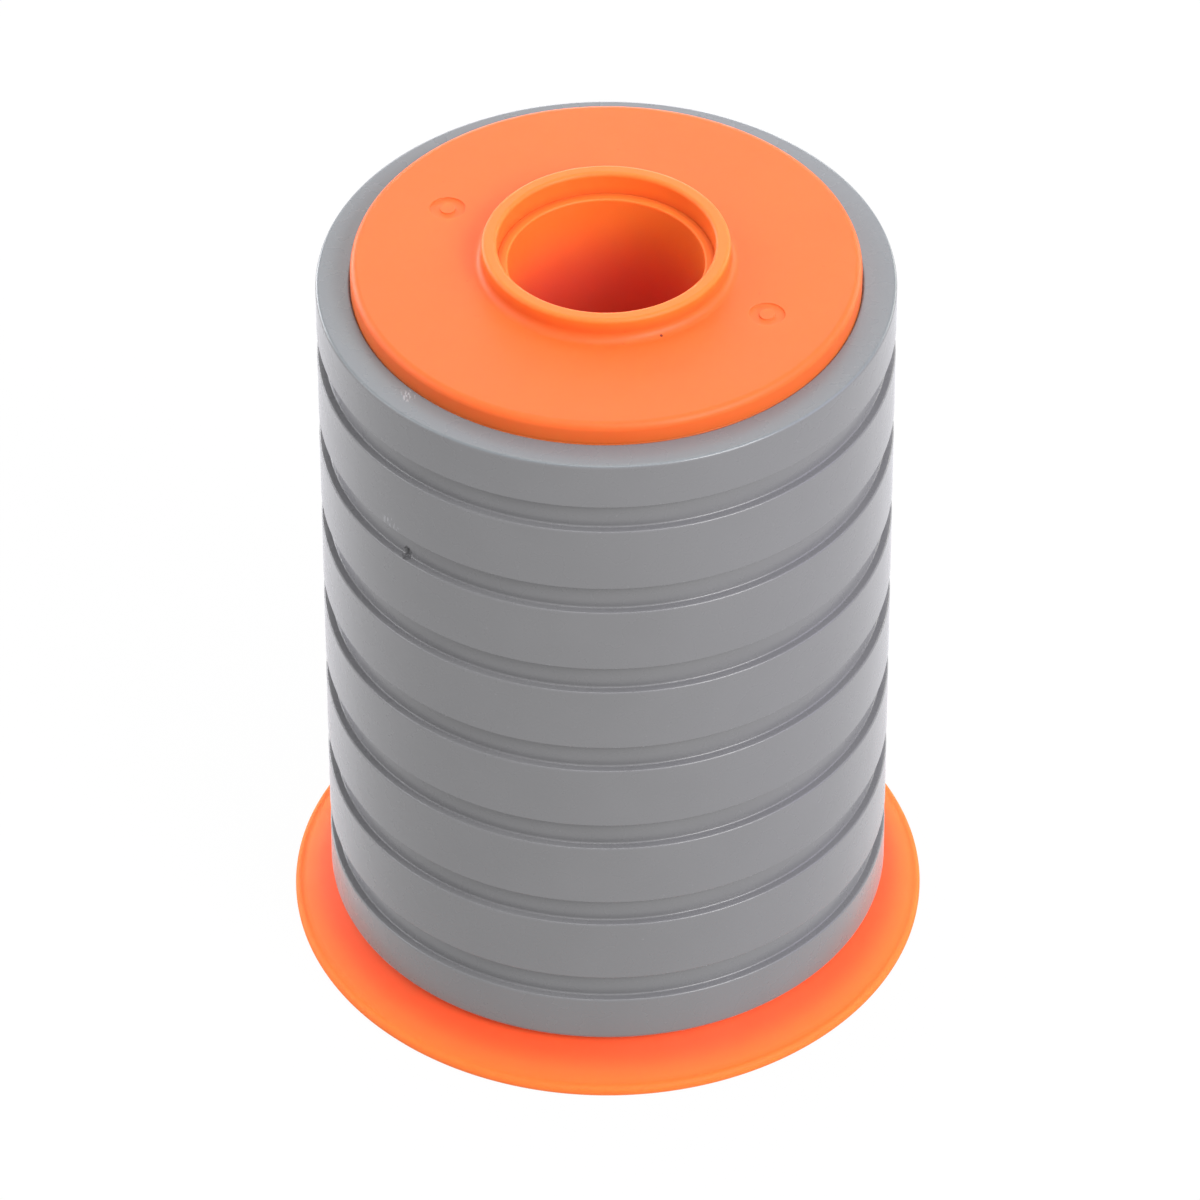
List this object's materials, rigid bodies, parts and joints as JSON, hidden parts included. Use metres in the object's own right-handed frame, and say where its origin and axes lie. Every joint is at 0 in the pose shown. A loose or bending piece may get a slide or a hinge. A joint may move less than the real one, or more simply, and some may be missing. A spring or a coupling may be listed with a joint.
{
  "type": "flanged core hub",
  "caption": "Flanged plastic hub with a through bore and a collar, inside a grooved rubber sleeve that grips a round core.",
  "frame": {"origin": "centre of the flange's underside, on the hub's axis", "axes": "+Z along the bore from the flange to the collar, +X and +Y free"},
  "size_m": [0.085, 0.085, 0.1117],
  "materials": {
    "drum_plastic": "satin moulded orange plastic",
    "cap_plastic": "satin moulded orange plastic",
    "tube_plastic": "smooth moulded orange plastic",
    "sleeve_rubber": "satin turned grey rubber"
  },
  "bodies": {
    "hub": {"flanged_drum": "drum_plastic", "end_cap": "cap_plastic", "bore_tube": "tube_plastic"},
    "sleeve": {"grip_sleeve": "sleeve_rubber"}
  },
  "joints": [
    {"name": "sleeve_pull", "type": "slide", "parent": "hub", "child": "sleeve", "axis": [0, 0, 1], "range_m": [0, 0.115]}
  ]
}
